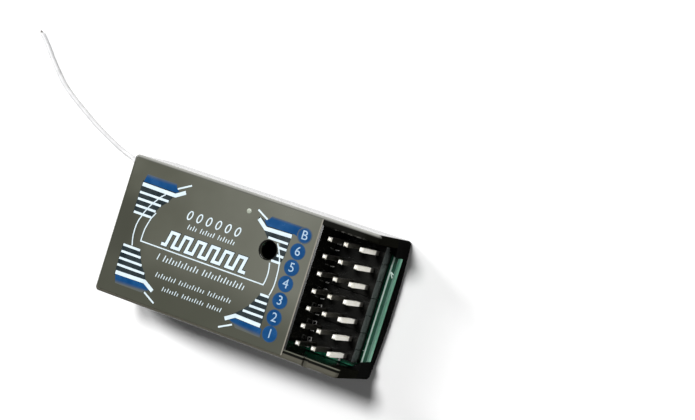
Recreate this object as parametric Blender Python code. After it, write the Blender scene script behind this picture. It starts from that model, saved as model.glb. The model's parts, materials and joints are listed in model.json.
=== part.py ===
"""Radio control receiver: a two-part plastic case, a circuit board with seven three-pin ports in an open
bay, the parts that the board carries, and a wire antenna that leaves the opposite end.

Metres, +Z up. The origin is the middle of the case's underside. +X runs from the antenna end to the
pin bay, +Y to the side that the antenna leaves at. Lengths along the case are given from the antenna
end, and distances across it from the centre line.
"""

import math

import bmesh
import bpy
from mathutils import Vector

MM = 0.001

# Case
case_height = 12.0 * MM
wall = 1.35 * MM
floor_thickness = 0.9 * MM
roof_thickness = 0.9 * MM
corner_radius = 0.6 * MM
end_bow = 0.4 * MM
seam_height = 5.0 * MM
bottom_chamfer = 0.4 * MM
top_round = 0.4 * MM

# Pin bay
cover_length = 32.3 * MM
bulkhead_thickness = 0.8 * MM
rim_chamfer = 0.2 * MM
end_wall_thickness = 1.0 * MM
bulkhead_gap = 0.3 * MM
skirt_step = 0.1 * MM
rim_notch_from_bulkhead = 3.1 * MM
rim_notch_length = 0.9 * MM
rim_notch_depth = 0.4 * MM

# Lip and snaps that join the two shells
lip_thickness = 0.5 * MM
lip_end_margin = 1.6 * MM
lip_root = 1.0 * MM
slip_gap = 0.1 * MM
snap_length = 3.0 * MM
snap_height = 0.6 * MM
snap_proud = 0.2 * MM
snap_below_seam = 0.9 * MM
snap_inset = 6.0 * MM

# Sight hole over the status light
sight_hole_diameter = 2.6 * MM
sight_hole_from_cover_edge = 7.05 * MM
sight_hole_across = 3.4 * MM

# Label
label_thickness = 0.1 * MM
label_inset = 0.45 * MM
label_radius = 0.4 * MM
label_hole_margin = 0.08 * MM

# Circuit board
board_thickness = 1.6 * MM
board_standoff = 0.8 * MM
board_gap = 0.1 * MM
board_corner = 1.3 * MM
ledge_width = 0.9 * MM
board_apron = 1.1 * MM

# Pin header
pitch = 2.54 * MM
header_height = 2.54 * MM
header_block_gap = 0.1 * MM
header_side_gap = 0.2 * MM
header_end_trim = 0.7 * MM
header_groove = 0.1 * MM
first_column_from_cover = 1.35 * MM
pin_width = 0.64 * MM
pin_reach = 5.8 * MM
pin_tail = 0.5 * MM
pin_point = 0.25 * MM
pin_taper = 0.14 * MM
pin_fit_gap = 0.02 * MM
pin_hole_diameter = 1.0 * MM
port_names = ["1", "2", "3", "4", "5", "6", "B"]
column_names = ["signal", "positive", "negative"]
block_rows = [2, 2, 3]

# Locating pegs
peg_diameter = 1.0 * MM
peg_shoulder_diameter = 1.9 * MM
peg_clearance = 0.1 * MM
peg_proud = 0.4 * MM
near_peg_from_end = 2.9 * MM
near_peg_across = -7.4 * MM
far_peg_from_cover_edge = 2.1 * MM
far_peg_across = 7.0 * MM

# Antenna wire
wire_diameter = 0.7 * MM
wire_gap = 0.3 * MM
wire_rest_height = 0.02 * MM
antenna_from_side = 3.25 * MM
wire_bends = [
    (1.20 * MM, 0.10 * MM, 3.82 * MM),
    (2.60 * MM, 0.42 * MM, 3.30 * MM),
    (4.10 * MM, 0.90 * MM, 2.45 * MM),
    (5.50 * MM, 1.42 * MM, 1.60 * MM),
    (6.72 * MM, 1.90 * MM, 1.00 * MM),
    (7.97 * MM, 2.16 * MM, 0.62 * MM),
    (9.12 * MM, 2.46 * MM, 0.44 * MM),
    (11.38 * MM, 3.30 * MM, None),
    (14.56 * MM, 4.70 * MM, None),
    (17.44 * MM, 6.20 * MM, None),
    (20.38 * MM, 7.86 * MM, None),
    (22.69 * MM, 9.37 * MM, None),
    (25.65 * MM, 12.08 * MM, None),
    (27.62 * MM, 14.22 * MM, None),
    (29.33 * MM, 15.85 * MM, None),
]
solder_diameter = 1.5 * MM
solder_height = 0.8 * MM

# Shield can
shield_from_end = 9.2 * MM
shield_across = -2.2 * MM
shield_length = 11.0 * MM
shield_width = 11.0 * MM
shield_height = 2.4 * MM
shield_sheet = 0.25 * MM
shield_fold_radius = 0.35 * MM
shield_vent_diameter = 0.9 * MM
shield_vent_pitch = 2.6 * MM

# Chips
chip_draft = 0.12 * MM
chip_standoff = 0.1 * MM
lead_thickness = 0.15 * MM
lead_root = 0.4 * MM
lead_bend = 0.4 * MM
lead_slope = 0.15 * MM
radio_chip_side = 5.0 * MM
radio_chip_height = 0.9 * MM
processor_from_end = 19.6 * MM
processor_across = -3.6 * MM
processor_side = 6.6 * MM
processor_height = 1.3 * MM
processor_leads_per_side = 8
processor_lead_pitch = 0.8 * MM
processor_lead_width = 0.35 * MM
processor_lead_reach = 1.0 * MM
regulator_from_cover_edge = 3.4 * MM
regulator_across = 3.3 * MM
regulator_length = 2.5 * MM
regulator_width = 4.5 * MM
regulator_height = 1.5 * MM
regulator_leads_per_side = 3
regulator_lead_pitch = 1.5 * MM
regulator_lead_width = 0.5 * MM
regulator_lead_reach = 0.8 * MM

# Crystal
crystal_from_end = 9.7 * MM
crystal_across = 5.6 * MM
crystal_length = 9.8 * MM
crystal_width = 3.4 * MM
crystal_height = 3.2 * MM
crystal_flange_width = 0.25 * MM
crystal_flange_height = 0.4 * MM
crystal_shoulder = 0.3 * MM

# Capacitors and resistor
tantalum_length = 3.4 * MM
tantalum_width = 2.6 * MM
tantalum_height = 1.9 * MM
tantalum_terminal = 0.15 * MM
tantalum_terminal_height = 0.85 * MM
tantalum_bevel = 0.3 * MM
tantalum_across = 7.0 * MM
input_capacitor_from_cover_edge = 4.9 * MM
output_capacitor_from_cover_edge = 8.8 * MM
ceramic_length = 1.6 * MM
ceramic_width = 0.8 * MM
ceramic_height = 0.5 * MM
ceramic_cap_length = 0.35 * MM
ceramic_cap_proud = 0.03 * MM
led_resistor_across = 1.4 * MM
decoupling_from_end = 16.2 * MM
decoupling_across = 1.6 * MM
decoupling_spacing = 1.6 * MM

# Status light
led_length = 1.6 * MM
led_width = 0.8 * MM
led_height = 0.9 * MM
led_base_height = 0.3 * MM
led_terminal = 0.25 * MM
led_lens_draft = 0.1 * MM

# Heights that follow from the sizes above
cover_top = case_height - label_thickness
cavity_top = cover_top - roof_thickness
board_bottom = floor_thickness + board_standoff
board_top = board_bottom + board_thickness
header_top = board_top + header_height
pin_top = header_top + pin_reach
wire_radius = wire_diameter / 2
wire_height = board_top + wire_gap + wire_radius

# Places along X and Y that follow from the sizes above
header_start = cover_length + first_column_from_cover - pitch / 2
header_end = header_start + len(column_names) * pitch
case_length = header_end + board_apron + end_bow
case_width = len(port_names) * pitch + 2 * (header_side_gap + wall)
antenna_end = -case_length / 2
pin_end = case_length / 2
side = case_width / 2
inner_side = side - wall
cover_edge = antenna_end + cover_length
bulkhead_back = cover_edge - bulkhead_thickness
board_end = pin_end - end_bow
board_start = antenna_end + wall + board_gap
board_side = inner_side - board_gap
first_column = cover_edge + first_column_from_cover
lip_start = antenna_end + wall + lip_end_margin
lip_end = bulkhead_back - lip_end_margin
lip_outer = inner_side - slip_gap
lip_inner = lip_outer - lip_thickness
antenna_across = side - antenna_from_side
sight_hole_x = cover_edge - sight_hole_from_cover_edge
near_peg = (antenna_end + near_peg_from_end, near_peg_across)
far_peg = (cover_edge - far_peg_from_cover_edge, far_peg_across)


def row_place(row):
    """Y of a row of pins; row 0 is port 1."""
    return (row - (len(port_names) - 1) / 2) * pitch


def column_place(column):
    """X of a column of pins; column 0 is next to the cover."""
    return first_column + column * pitch


# Materials


def material(name, colour, roughness, metallic=0.0):
    made = bpy.data.materials.get(name)
    if made:
        return made
    made = bpy.data.materials.new(name)
    made.use_nodes = True
    shader = made.node_tree.nodes["Principled BSDF"]
    shader.inputs["Base Color"].default_value = (*colour, 1.0)
    shader.inputs["Roughness"].default_value = roughness
    shader.inputs["Metallic"].default_value = metallic
    made.diffuse_color = (*colour, 1.0)
    return made


def cover_plastic():
    return material("cover_plastic", (0.045, 0.045, 0.038), 0.25)


def shell_plastic():
    return material("shell_plastic", (0.012, 0.012, 0.012), 0.3)


def label_film():
    return material("label_film", (0.135, 0.14, 0.115), 0.35)


def board_laminate():
    return material("board_laminate", (0.02, 0.11, 0.06), 0.3)


def header_plastic():
    return material("header_plastic", (0.015, 0.015, 0.016), 0.4)


def pin_plating():
    return material("pin_plating", (0.9, 0.87, 0.78), 0.25, 1.0)


def shield_tin():
    return material("shield_tin", (0.75, 0.75, 0.73), 0.35, 1.0)


def chip_resin():
    return material("chip_resin", (0.02, 0.02, 0.022), 0.6)


def tantalum_resin():
    return material("tantalum_resin", (0.55, 0.3, 0.04), 0.5)


def chip_ceramic():
    return material("chip_ceramic", (0.45, 0.36, 0.27), 0.5)


def led_lens():
    return material("led_lens", (0.75, 0.1, 0.06), 0.2)


def solder():
    return material("solder", (0.7, 0.7, 0.7), 0.3, 1.0)


def wire_insulation():
    return material("wire_insulation", (0.82, 0.82, 0.82), 0.35)


# Outlines, each a list of (x, y) points that runs anticlockwise


def arc(centre, radius, start, sweep, steps):
    """Points on an arc; angles are in degrees."""
    points = []
    for step in range(steps + 1):
        angle = math.radians(start + sweep * step / steps)
        points.append((centre[0] + radius * math.cos(angle), centre[1] + radius * math.sin(angle)))
    return points


def rectangle(x0, x1, y0, y1):
    return [(x0, y0), (x1, y0), (x1, y1), (x0, y1)]


def rounded_rectangle(x0, x1, y0, y1, radius, steps=4):
    return (
        arc((x0 + radius, y0 + radius), radius, 180, 90, steps)
        + arc((x1 - radius, y0 + radius), radius, 270, 90, steps)
        + arc((x1 - radius, y1 - radius), radius, 0, 90, steps)
        + arc((x0 + radius, y1 - radius), radius, 90, 90, steps)
    )


def case_outline(inset=0.0, steps=10):
    """The case seen from above: round corners, and a slightly bowed end at the pin bay."""
    radius = max(corner_radius - inset, 0.1 * MM)
    left = antenna_end + inset
    half = side - inset
    corner_x = pin_end - end_bow - inset
    bow_half = half - radius
    points = arc((left + radius, -half + radius), radius, 180, 90, 4)
    points += arc((corner_x - radius, -half + radius), radius, 270, 90, 4)
    for step in range(1, steps):
        y = -bow_half + 2 * bow_half * step / steps
        points.append((corner_x + end_bow * (1 - (y / bow_half) ** 2), y))
    points += arc((corner_x - radius, half - radius), radius, 0, 90, 4)
    points += arc((left + radius, half - radius), radius, 90, 90, 4)
    return points


def circle(centre, radius, sides):
    """A many-sided hole or boss whose flats lie on the given radius."""
    reach = radius / math.cos(math.pi / sides)
    turn = 180 / sides
    return arc(centre, reach, turn, 360 * (sides - 1) / sides, sides - 1)


def stadium(centre, length, width, steps=8):
    """A straight-sided outline with half-round ends, long along X."""
    x, y = centre
    radius = width / 2
    reach = length / 2 - radius
    return arc((x - reach, y), radius, 90, 180, steps) + arc((x + reach, y), radius, 270, 180, steps)


# Solids


def loft(mesh, sections):
    """Join closed rings of points, each ring like the one before, and cap both ends."""
    rings = [[mesh.verts.new(point) for point in ring] for ring in sections]
    count = len(rings[0])
    for lower, upper in zip(rings, rings[1:]):
        for i in range(count):
            k = (i + 1) % count
            mesh.faces.new((lower[i], lower[k], upper[k], upper[i]))
    mesh.faces.new(list(reversed(rings[0])))
    mesh.faces.new(rings[-1])


def lifted(outline, z):
    return [(x, y, z) for x, y in outline]


def prism(outline, z0, z1, mesh=None):
    mesh = mesh or bmesh.new()
    loft(mesh, [lifted(outline, z0), lifted(outline, z1)])
    return mesh


def box(x0, x1, y0, y1, z0, z1, mesh=None):
    return prism(rectangle(x0, x1, y0, y1), z0, z1, mesh)


def standing_block(place, size, z0, mesh=None):
    """A block of length, width and height that stands on z0, with its middle at place."""
    x, y = place
    length, width, height = size
    return box(x - length / 2, x + length / 2, y - width / 2, y + width / 2, z0, z0 + height, mesh)


def extrude_along_x(profile, x0, x1, mesh=None):
    """A profile of (y, z) points, anticlockwise seen from +X, drawn out along X."""
    mesh = mesh or bmesh.new()
    loft(mesh, [[(x0, y, z) for y, z in profile], [(x1, y, z) for y, z in profile]])
    return mesh


def extrude_along_y(profile, y0, y1, mesh=None):
    """A profile of (x, z) points, anticlockwise seen from -Y, drawn out along Y."""
    mesh = mesh or bmesh.new()
    loft(mesh, [[(x, y1, z) for x, z in profile], [(x, y0, z) for x, z in profile]])
    return mesh


def turned(profile, centre, sides, mesh=None):
    """A solid turned about a vertical axis from (radius, z) points, lowest first."""
    mesh = mesh or bmesh.new()
    sweep = 360 * (sides - 1) / sides
    loft(mesh, [lifted(arc(centre, radius, 0, sweep, sides - 1), z) for radius, z in profile])
    return mesh


def rounded_top(outline_at, z0, z1, radius, steps):
    """An upright solid whose top edge is rounded; outline_at gives its outline for an inset."""
    sections = [lifted(outline_at(0.0), z0)]
    for step in range(steps + 1):
        angle = math.pi / 2 * step / steps
        inset = radius * (1 - math.cos(angle))
        sections.append(lifted(outline_at(inset), z1 - radius + radius * math.sin(angle)))
    mesh = bmesh.new()
    loft(mesh, sections)
    return mesh


def chamfered_foot(outline_at, z0, z1, width):
    """An upright solid whose bottom edge has a chamfer."""
    mesh = bmesh.new()
    full = outline_at(0.0)
    loft(mesh, [lifted(outline_at(width), z0), lifted(full, z0 + width), lifted(full, z1)])
    return mesh


def make_object(name, mesh, surface, smooth_angle=35):
    data = bpy.data.meshes.new(name)
    mesh.to_mesh(data)
    mesh.free()
    data.materials.append(surface)
    data.shade_smooth()
    data.set_sharp_from_angle(angle=math.radians(smooth_angle))
    made = bpy.data.objects.new(name, data)
    bpy.context.scene.collection.objects.link(made)
    return made


def combine(target, name, mesh, operation):
    """Cut a hidden solid out of the target, or join it to the target."""
    tool = make_object(name, mesh, target.data.materials[0])
    tool.hide_render = True
    tool.display_type = "WIRE"
    step = target.modifiers.new(name, "BOOLEAN")
    step.operation = operation
    step.solver = "EXACT"
    step.object = tool


def cut(target, name, mesh):
    combine(target, name, mesh, "DIFFERENCE")


def join(target, name, mesh):
    combine(target, name, mesh, "UNION")


# Case shells


def board_pocket():
    """The room for the board: open at the bay end, where a post is left standing in each corner."""
    start = antenna_end + wall
    beyond = pin_end + wall
    return [
        (start, -inner_side),
        (board_end - board_corner, -inner_side),
        (board_end, -inner_side + board_corner),
        (beyond, -inner_side + board_corner),
        (beyond, inner_side - board_corner),
        (board_end, inner_side - board_corner),
        (board_end - board_corner, inner_side),
        (start, inner_side),
    ]


def snap_places():
    """Middles of the snaps along each side of the case."""
    return [lip_start + snap_inset, lip_end - snap_inset]


def snap_groove(mesh, sign):
    """Grooves on the inner face of a side wall that the lip's ridges click into."""
    z = seam_height - snap_below_seam
    deep = inner_side - slip_gap + snap_proud + slip_gap / 2
    half = snap_height / 2 + slip_gap
    for x in snap_places():
        reach = snap_length / 2 + slip_gap
        y0, y1 = sorted((sign * (inner_side - lip_thickness), sign * deep))
        box(x - reach, x + reach, y0, y1, z - half, z + half, mesh)


def antenna_notch():
    """A slot with a round foot, from the seam down to the wire."""
    radius = wire_radius + wire_gap
    foot = arc((antenna_across, wire_height), radius, 180, 180, 8)
    high = seam_height + wall
    profile = foot + [(antenna_across + radius, high), (antenna_across - radius, high)]
    return extrude_along_x(profile, antenna_end - wall, antenna_end + 2 * wall)


def make_lower_shell():
    body = chamfered_foot(case_outline, 0, seam_height, bottom_chamfer)
    shell = make_object("lower_shell", body, shell_plastic())
    ledge = inner_side - ledge_width
    above = seam_height + wall
    cut(shell, "board_pocket", prism(board_pocket(), board_bottom, above))
    cut(shell, "pocket_between_ledges", box(
        antenna_end + wall + ledge_width, board_end - end_wall_thickness, -ledge, ledge,
        floor_thickness, above))
    for sign, word in ((1, "far"), (-1, "near")):
        grooves = bmesh.new()
        snap_groove(grooves, sign)
        cut(shell, f"{word}_grooves", grooves)
    for place, word in ((near_peg, "near"), (far_peg, "far")):
        peg = turned([
            (peg_shoulder_diameter / 2, floor_thickness / 2),
            (peg_shoulder_diameter / 2, board_bottom),
            (peg_diameter / 2, board_bottom),
            (peg_diameter / 2, board_top + peg_proud / 2),
            (peg_diameter / 2 - peg_proud / 2, board_top + peg_proud),
        ], place, 16)
        join(shell, f"{word}_peg", peg)
    cut(shell, "antenna_slot", antenna_notch())
    return shell


def lip_profile(sign):
    """The lip under the seam, and the root that ties it to the side wall above the seam."""
    foot = board_top + slip_gap
    points = [
        (lip_inner, foot),
        (lip_outer, foot),
        (lip_outer, seam_height),
        (inner_side + wall / 2, seam_height),
        (inner_side + wall / 2, seam_height + lip_root),
        (lip_inner + lip_thickness / 2, seam_height + lip_root),
        (lip_inner, seam_height + lip_root / 2),
    ]
    points = [(y * sign, z) for y, z in points]
    return points if sign > 0 else list(reversed(points))


def snap_profile(sign):
    """A ridge with sloping faces on the outer face of the lip."""
    z = seam_height - snap_below_seam
    half = snap_height / 2
    points = [
        (lip_outer - lip_thickness / 2, z - half),
        (lip_outer, z - half),
        (lip_outer + snap_proud, z - half / 3),
        (lip_outer + snap_proud, z + half / 3),
        (lip_outer, z + half),
        (lip_outer - lip_thickness / 2, z + half),
    ]
    points = [(y * sign, z) for y, z in points]
    return points if sign > 0 else list(reversed(points))


def bay_space():
    """The room over the pins, flared at the top so that its rim gets a small chamfer."""
    levels = [
        (seam_height - wall, 0.0),
        (cover_top - rim_chamfer, 0.0),
        (cover_top + wall, rim_chamfer + wall),
    ]
    sections = []
    for z, flare in levels:
        half = inner_side + flare
        sections.append(lifted(rectangle(cover_edge - flare, pin_end + wall, -half, half), z))
    mesh = bmesh.new()
    loft(mesh, sections)
    return mesh


def make_cover():
    body = rounded_top(case_outline, seam_height, cover_top, top_round, 4)
    cover = make_object("cover", body, cover_plastic())
    cut(cover, "cover_cavity", box(
        antenna_end + wall, bulkhead_back, -inner_side, inner_side, seam_height - wall, cavity_top))
    cut(cover, "bay", bay_space())
    join(cover, "bulkhead_skirt", box(
        bulkhead_back + skirt_step, cover_edge - skirt_step, -lip_inner, lip_inner,
        board_top + bulkhead_gap, seam_height + wall))
    notch = cover_edge + rim_notch_from_bulkhead
    cut(cover, "rim_notch", box(
        notch, notch + rim_notch_length, -side - wall, -inner_side + wall,
        cover_top - rim_notch_depth, cover_top + wall))
    cut(cover, "sight_hole", prism(
        circle((sight_hole_x, sight_hole_across), sight_hole_diameter / 2, 32),
        cavity_top - wall, cover_top + wall))
    for sign, word in ((1, "far"), (-1, "near")):
        join(cover, f"{word}_lip", extrude_along_x(lip_profile(sign), lip_start, lip_end))
        for i, x in enumerate(snap_places()):
            join(cover, f"{word}_snap_{i + 1}", extrude_along_x(
                snap_profile(sign), x - snap_length / 2, x + snap_length / 2))
    tab_half = wire_radius + wire_gap - slip_gap
    join(cover, "slot_tab", box(
        antenna_end, antenna_end + wall, antenna_across - tab_half, antenna_across + tab_half,
        wire_height + wire_radius + wire_gap, seam_height + wall))
    return cover


def make_label():
    start = antenna_end + label_inset
    end = cover_edge - rim_chamfer
    half = side - label_inset
    outline = arc((start + label_radius, -half + label_radius), label_radius, 180, 90, 4)
    outline += [(end, -half), (end, half)]
    outline += arc((start + label_radius, half - label_radius), label_radius, 90, 90, 4)
    label = make_object("label", prism(outline, cover_top, case_height), label_film())
    cut(label, "label_hole", prism(
        circle((sight_hole_x, sight_hole_across), sight_hole_diameter / 2 + label_hole_margin, 32),
        cover_top - wall, case_height + wall))
    return label


# Circuit board, header and pins


def make_board():
    slant = board_corner
    outline = [
        (board_start, -board_side),
        (board_end - slant, -board_side),
        (board_end, -board_side + slant),
        (board_end, board_side - slant),
        (board_end - slant, board_side),
        (board_start, board_side),
    ]
    board = make_object("main_board", prism(outline, board_bottom, board_top), board_laminate())
    holes = bmesh.new()
    for row in range(len(port_names)):
        for column in range(len(column_names)):
            prism(circle((column_place(column), row_place(row)), pin_hole_diameter / 2, 12),
                  board_bottom - wall, board_top + wall, holes)
    for place in (near_peg, far_peg):
        prism(circle(place, peg_diameter / 2 + peg_clearance, 16),
              board_bottom - wall, board_top + wall, holes)
    cut(board, "board_holes", holes)
    return board


def grooved_side(start, direction, inward, cells, trimmed):
    """One side of a header block, with a V groove where two cells meet; its first cell is trimmed."""
    points = [start]
    for cell in range(1, cells):
        middle = start + direction * (pitch * cell - trimmed)
        points.append(middle - direction * header_groove)
        points.append(middle + inward * header_groove)
        points.append(middle + direction * header_groove)
    return points


def block_outline(first_row, rows):
    trim = header_block_gap / 2
    x0 = column_place(0) - pitch / 2
    x1 = column_place(len(column_names) - 1) + pitch / 2
    near_trim = header_end_trim if first_row == 0 else trim
    y0 = row_place(first_row) - pitch / 2 + near_trim
    y1 = row_place(first_row + rows - 1) + pitch / 2 - trim
    right, up = Vector((1, 0)), Vector((0, 1))
    columns = len(column_names)
    points = grooved_side(Vector((x0, y0)), right, up, columns, 0.0)
    points += grooved_side(Vector((x1, y0)), up, -right, rows, near_trim)
    points += grooved_side(Vector((x1, y1)), -right, -up, columns, 0.0)
    points += grooved_side(Vector((x0, y1)), -up, right, rows, trim)
    return [(point.x, point.y) for point in points]


def make_header():
    first_row = 0
    for number, rows in enumerate(block_rows, start=1):
        body = prism(block_outline(first_row, rows), board_top, header_top)
        block = make_object(f"header_block_{number}", body, header_plastic())
        holes = bmesh.new()
        half = pin_width / 2 + pin_fit_gap
        for row in range(first_row, first_row + rows):
            for column in range(len(column_names)):
                x, y = column_place(column), row_place(row)
                box(x - half, x + half, y - half, y + half, board_top - wall, header_top + wall, holes)
        cut(block, f"block_{number}_holes", holes)
        first_row += rows


def pin_mesh():
    """A square pin with a blunt point at each end, stood on the middle of its port."""
    body = pin_width / 2
    tip = body - pin_taper
    levels = [
        (tip, board_bottom - pin_tail),
        (body, board_bottom - pin_tail + pin_point),
        (body, pin_top - pin_point),
        (tip, pin_top),
    ]
    mesh = bmesh.new()
    loft(mesh, [lifted(rectangle(-half, half, -half, half), z) for half, z in levels])
    return mesh


def make_pins():
    first = make_object("pin_pattern", pin_mesh(), pin_plating(), smooth_angle=20)
    for row, port in enumerate(port_names):
        for column, purpose in enumerate(column_names):
            pin = bpy.data.objects.new(f"pin_{port}_{purpose}", first.data)
            pin.location = (column_place(column), row_place(row), 0)
            bpy.context.scene.collection.objects.link(pin)
    bpy.data.objects.remove(first)


# Parts on the board


def shield_middle():
    return antenna_end + shield_from_end, shield_across


def make_shield():
    """A folded tin can, open towards the board, with rows of vent holes."""
    x, y = shield_middle()
    top = board_top + shield_height

    def outline(inset):
        half_x, half_y = shield_length / 2 - inset, shield_width / 2 - inset
        return rounded_rectangle(x - half_x, x + half_x, y - half_y, y + half_y, shield_fold_radius, 3)

    can = make_object("radio_shield", rounded_top(outline, board_top, top, shield_sheet, 2), shield_tin())
    inside = (
        shield_length - 2 * shield_sheet,
        shield_width - 2 * shield_sheet,
        shield_height - shield_sheet + wall,
    )
    cut(can, "shield_hollow", standing_block((x, y), inside, board_top - wall))
    vents = bmesh.new()
    for i in (-1, 0, 1):
        for k in (-1, 0, 1):
            centre = (x + i * shield_vent_pitch, y + k * shield_vent_pitch)
            prism(circle(centre, shield_vent_diameter / 2, 10), top - 2 * shield_sheet, top + wall, vents)
    cut(can, "shield_vents", vents)


def chip_body(place, size, z0):
    """A moulded chip: two sloped halves that meet at the middle of its height."""
    x, y = place
    length, width, height = size
    sections = []
    for rise, inset in ((0, chip_draft), (height / 2, 0), (height, chip_draft)):
        outline = rectangle(x - length / 2 + inset, x + length / 2 - inset,
                            y - width / 2 + inset, y + width / 2 - inset)
        sections.append(lifted(outline, z0 + rise))
    mesh = bmesh.new()
    loft(mesh, sections)
    return mesh


def gull_lead(mesh, root, outward, width, reach, middle):
    """A bent lead: out of the body at its middle height, down to the board, and flat on it."""
    profile = [
        (-lead_root, middle),
        (lead_bend, middle),
        (lead_bend + lead_slope, board_top + lead_thickness),
        (reach, board_top + lead_thickness),
        (reach, board_top),
        (lead_bend + lead_slope - lead_thickness / 2, board_top),
        (lead_bend - lead_thickness / 2, middle - lead_thickness),
        (-lead_root, middle - lead_thickness),
    ]
    across = Vector((-outward.y, outward.x)) * width / 2
    rings = []
    for edge in (-across, across):
        ring = []
        for out, z in profile:
            point = root + outward * out + edge
            ring.append((point.x, point.y, z))
        rings.append(ring)
    loft(mesh, rings)


def make_leaded_chip(name, place, size, sides, leads, lead_pitch, lead_width, reach):
    """A chip with bent leads along some of its sides; a side is its outward direction."""
    length, width, height = size
    z0 = board_top + chip_standoff
    chip = make_object(name, chip_body(place, size, z0), chip_resin())
    metal = bmesh.new()
    for outward in sides:
        half = length / 2 if outward.x else width / 2
        across = Vector((-outward.y, outward.x))
        for i in range(leads):
            root = Vector(place) + outward * half + across * (i - (leads - 1) / 2) * lead_pitch
            gull_lead(metal, root, outward, lead_width, reach, z0 + height / 2)
    bmesh.ops.recalc_face_normals(metal, faces=metal.faces)
    join(chip, f"{name}_leads", metal)


def make_crystal():
    """A pressed oval can on a flanged base."""
    x, y = antenna_end + crystal_from_end, crystal_across
    steps = [
        (0, 0),
        (0, crystal_flange_height),
        (crystal_flange_width, crystal_flange_height),
        (crystal_flange_width, crystal_height - crystal_shoulder),
        (crystal_flange_width + crystal_shoulder, crystal_height),
    ]
    mesh = bmesh.new()
    loft(mesh, [
        lifted(stadium((x, y), crystal_length - 2 * inset, crystal_width - 2 * inset), board_top + rise)
        for inset, rise in steps
    ])
    make_object("crystal", mesh, shield_tin())


def make_tantalum(name, x, y):
    """A moulded block with a bevelled top and a terminal folded up each end."""
    end = tantalum_length / 2
    body = end - tantalum_terminal
    half_profile = [
        (body, board_top),
        (end, board_top),
        (end, board_top + tantalum_terminal_height),
        (body, board_top + tantalum_terminal_height),
        (body, board_top + tantalum_height - tantalum_bevel),
        (body - tantalum_bevel, board_top + tantalum_height),
    ]
    profile = [(x + out, z) for out, z in half_profile]
    profile += [(x - out, z) for out, z in reversed(half_profile)]
    half_width = tantalum_width / 2
    make_object(name, extrude_along_y(profile, y - half_width, y + half_width), tantalum_resin())


def make_ceramic(name, x, y):
    """A ceramic chip with an end cap that stands a little proud at each end."""
    end = ceramic_length / 2
    waist = end - ceramic_cap_length
    middle = board_top + ceramic_height / 2
    rings = []
    for out, inset in ((-end, 0), (-waist, 0), (-waist, ceramic_cap_proud),
                       (waist, ceramic_cap_proud), (waist, 0), (end, 0)):
        half_y, half_z = ceramic_width / 2 - inset, ceramic_height / 2 - inset
        section = rectangle(y - half_y, y + half_y, middle - half_z, middle + half_z)
        rings.append([(x + out, across, z) for across, z in section])
    mesh = bmesh.new()
    loft(mesh, rings)
    make_object(name, mesh, chip_ceramic())


def make_status_light():
    """A small surface light with a tapered lens, centred under the sight hole."""
    x, y = sight_hole_x, sight_hole_across
    half_length = led_length / 2
    half_width = led_width / 2
    lens = half_length - led_terminal
    sections = [
        (half_length, half_width, 0),
        (half_length, half_width, led_base_height),
        (lens, half_width, led_base_height),
        (lens - led_lens_draft, half_width - led_lens_draft, led_height),
    ]
    mesh = bmesh.new()
    loft(mesh, [
        lifted(rectangle(x - half_x, x + half_x, y - half_y, y + half_y), board_top + rise)
        for half_x, half_y, rise in sections
    ])
    make_object("status_light", mesh, led_lens())


def wire_start():
    """X of the wire's inner end, one gap short of its solder joint."""
    return antenna_end + wall + ledge_width + wire_gap


def make_solder_joint():
    """A rounded bead on the board where the wire's core is soldered."""
    centre = (wire_start() + wire_gap + solder_diameter / 2, antenna_across)
    quarter = arc((0, board_top), 1, 0, 80, 4)
    profile = [(out * solder_diameter / 2, board_top + (z - board_top) * solder_height) for out, z in quarter]
    make_object("antenna_solder_joint", turned(profile, centre, 16), solder())


# Antenna wire


def wire_route():
    """The points that the wire was laid through, from the board to its bare tip.

    Each bend is out from the end wall, then across from the slot, then up; None is at rest on the ground.
    """
    resting = wire_radius + wire_rest_height
    inner = [
        Vector((wire_start(), antenna_across, wire_height)),
        Vector((antenna_end + wall, antenna_across, wire_height)),
        Vector((antenna_end - wire_radius, antenna_across, wire_height)),
    ]
    laid = []
    for out, across, height in wire_bends:
        z = resting if height is None else height
        laid.append(Vector((antenna_end - out, antenna_across + across, z)))
    return inner + laid


def smooth_curve(route):
    """Points on a smooth curve that passes through every point of the route."""
    points = []
    per_span = 40
    for i in range(len(route) - 1):
        before = route[max(i - 1, 0)]
        start, end = route[i], route[i + 1]
        after = route[min(i + 2, len(route) - 1)]
        for step in range(per_span):
            t = step / per_span
            points.append(0.5 * (
                2 * start
                + (end - before) * t
                + (2 * before - 5 * start + 4 * end - after) * t ** 2
                + (3 * start - before - 3 * end + after) * t ** 3
            ))
    points.append(route[-1])
    return points


def spaced(points, spacing):
    """The same curve with its points one spacing apart."""
    kept = [points[0]]
    for point in points[1:]:
        if (point - kept[-1]).length >= spacing:
            kept.append(point)
    if (points[-1] - kept[-1]).length < spacing / 2:
        kept.pop()
    kept.append(points[-1])
    return kept


def make_antenna():
    points = spaced(smooth_curve(wire_route()), 2 * wire_diameter)
    curve = bpy.data.curves.new("antenna_wire", "CURVE")
    curve.dimensions = "3D"
    curve.bevel_depth = wire_radius
    curve.bevel_resolution = 2
    curve.use_fill_caps = True
    spline = curve.splines.new("POLY")
    spline.points.add(len(points) - 1)
    for target, point in zip(spline.points, points):
        target.co = (*point, 1)
    wire = bpy.data.objects.new("antenna_wire", curve)
    curve.materials.append(wire_insulation())
    bpy.context.scene.collection.objects.link(wire)


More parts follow.
